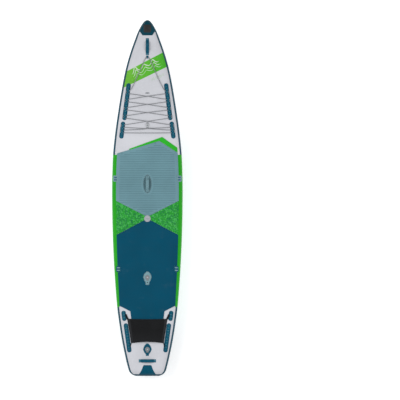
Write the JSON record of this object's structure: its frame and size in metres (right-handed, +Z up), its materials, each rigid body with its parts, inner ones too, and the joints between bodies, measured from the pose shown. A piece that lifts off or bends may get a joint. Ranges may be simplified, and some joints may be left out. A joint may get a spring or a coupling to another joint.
{
  "type": "stand up paddleboard",
  "caption": "Inflatable touring stand up paddleboard with foam deck pads, bungee lacing, webbing loop strips, carry handles, inflation valves and slide-out fins.",
  "frame": {"origin": "centre of the board's outline at mid length, at the level of the fin tips", "axes": "+Y towards the nose, +Z up out of the deck, +X to the rider's right"},
  "size_m": [0.7552, 3.8158, 0.4609],
  "materials": {
    "pvc_grey": "coated PVC laminate, satin",
    "pvc_petrol": "coated PVC tape, satin",
    "pvc_green": "coated PVC tape, satin",
    "pvc_blue_grey": "coated PVC laminate, satin",
    "core_fabric": "drop-stitch polyester",
    "eva_blue_grey": "grooved EVA foam, matt",
    "eva_green": "mottled EVA foam, matt",
    "eva_petrol": "EVA foam, matt",
    "badge_grey": "moulded soft PVC",
    "webbing_petrol": "woven webbing",
    "webbing_blue_grey": "woven webbing",
    "grip_petrol": "neoprene sleeve",
    "grip_blue_grey": "neoprene sleeve",
    "cord_grey": "braided elastic cord",
    "nylon_grey": "moulded nylon",
    "nylon_light": "moulded nylon",
    "nylon_black": "moulded nylon",
    "fin_black": "moulded plastic, satin",
    "mesh_black": "stretch mesh",
    "spring_steel": "stainless wire"
  },
  "bodies": {
    "board": {"drop_stitch_core": "core_fabric", "deck_skin": "pvc_grey", "hull_skin": "pvc_grey", "rail_nose_left": "pvc_petrol", "rail_nose_right": "pvc_petrol", "rail_green_left": "pvc_green", "rail_green_right": "pvc_green", "rail_tail": "pvc_petrol", "nose_cap": "pvc_petrol", "tail_patch_deck": "pvc_petrol", "tail_patch_hull": "pvc_petrol", "pad_upper": "eva_blue_grey", "pad_accent": "eva_green", "pad_green_left": "eva_green", "pad_green_right": "eva_green", "pad_lower": "eva_petrol", "pad_badge": "badge_grey", "handle_mat": "eva_petrol", "nose_mount": "nylon_black", "nose_handle_strap": "webbing_petrol", "nose_handle_grip": "grip_petrol", "centre_handle_strap": "webbing_blue_grey", "centre_handle_grip": "grip_blue_grey", "tail_handle_strap": "webbing_petrol", "tail_handle_grip": "grip_petrol", "strip_front_long_left": "webbing_petrol", "strip_front_long_right": "webbing_petrol", "strip_front_short_left": "webbing_petrol", "strip_front_short_right": "webbing_petrol", "strip_tail_short_left": "webbing_petrol", "strip_tail_short_right": "webbing_petrol", "strip_tail_long_left": "webbing_petrol", "strip_tail_long_right": "webbing_petrol", "seat_loop_front_left": "webbing_blue_grey", "seat_loop_front_right": "webbing_blue_grey", "seat_loop_rear_left": "webbing_petrol", "seat_loop_rear_right": "webbing_petrol", "bungee_cord": "cord_grey", "bungee_nose_loop": "webbing_petrol", "deck_eyelet": "nylon_grey", "cord_lock_body": "nylon_grey", "valve_mid_patch": "pvc_blue_grey", "valve_tail_patch": "pvc_petrol", "valve_mid_body": "nylon_grey", "valve_tail_body": "nylon_grey", "valve_mid_spring": "spring_steel", "valve_tail_spring": "spring_steel", "hull_disc_mid": "pvc_petrol", "hull_disc_tail": "pvc_blue_grey", "fin_box_left": "nylon_black", "fin_box_right": "nylon_black", "cargo_cover": "mesh_black"},
    "cord_lock_button": {"cord_lock_button": "nylon_black"},
    "fin_left": {"fin_left": "fin_black"},
    "fin_right": {"fin_right": "fin_black"},
    "valve_mid_cap": {"valve_mid_cap": "nylon_grey"},
    "valve_mid_plunger": {"valve_mid_plunger": "nylon_light"},
    "valve_tail_cap": {"valve_tail_cap": "nylon_grey"},
    "valve_tail_plunger": {"valve_tail_plunger": "nylon_light"}
  },
  "joints": [
    {"name": "valve_mid_cap_hinge", "type": "hinge", "parent": "board", "child": "valve_mid_cap", "pos_m": [0, -0.882, 0.3462], "axis": [1, 0, 0], "range_deg": [0, 150]},
    {"name": "valve_mid_plunger_press", "type": "slide", "parent": "board", "child": "valve_mid_plunger", "axis": [0, 0, -1], "range_m": [0, 0.005], "stiffness_N_per_m": 300, "springref_m": -0.001, "deforming": ["valve_mid_spring"]},
    {"name": "valve_tail_cap_hinge", "type": "hinge", "parent": "board", "child": "valve_tail_cap", "pos_m": [0, -1.6535, 0.3462], "axis": [1, 0, 0], "range_deg": [0, 150]},
    {"name": "valve_tail_plunger_press", "type": "slide", "parent": "board", "child": "valve_tail_plunger", "axis": [0, 0, -1], "range_m": [0, 0.005], "stiffness_N_per_m": 300, "springref_m": -0.001, "deforming": ["valve_tail_spring"]},
    {"name": "cord_lock_press", "type": "slide", "parent": "board", "child": "cord_lock_button", "axis": [0, 0, -1], "range_m": [0, 0.0022], "stiffness_N_per_m": 400, "springref_m": -0.001},
    {"name": "fin_slide_left", "type": "slide", "parent": "board", "child": "fin_left", "axis": [0, -1, 0], "range_m": [0, 0.2]},
    {"name": "fin_slide_right", "type": "slide", "parent": "board", "child": "fin_right", "axis": [0, -1, 0], "range_m": [0, 0.2]}
  ]
}
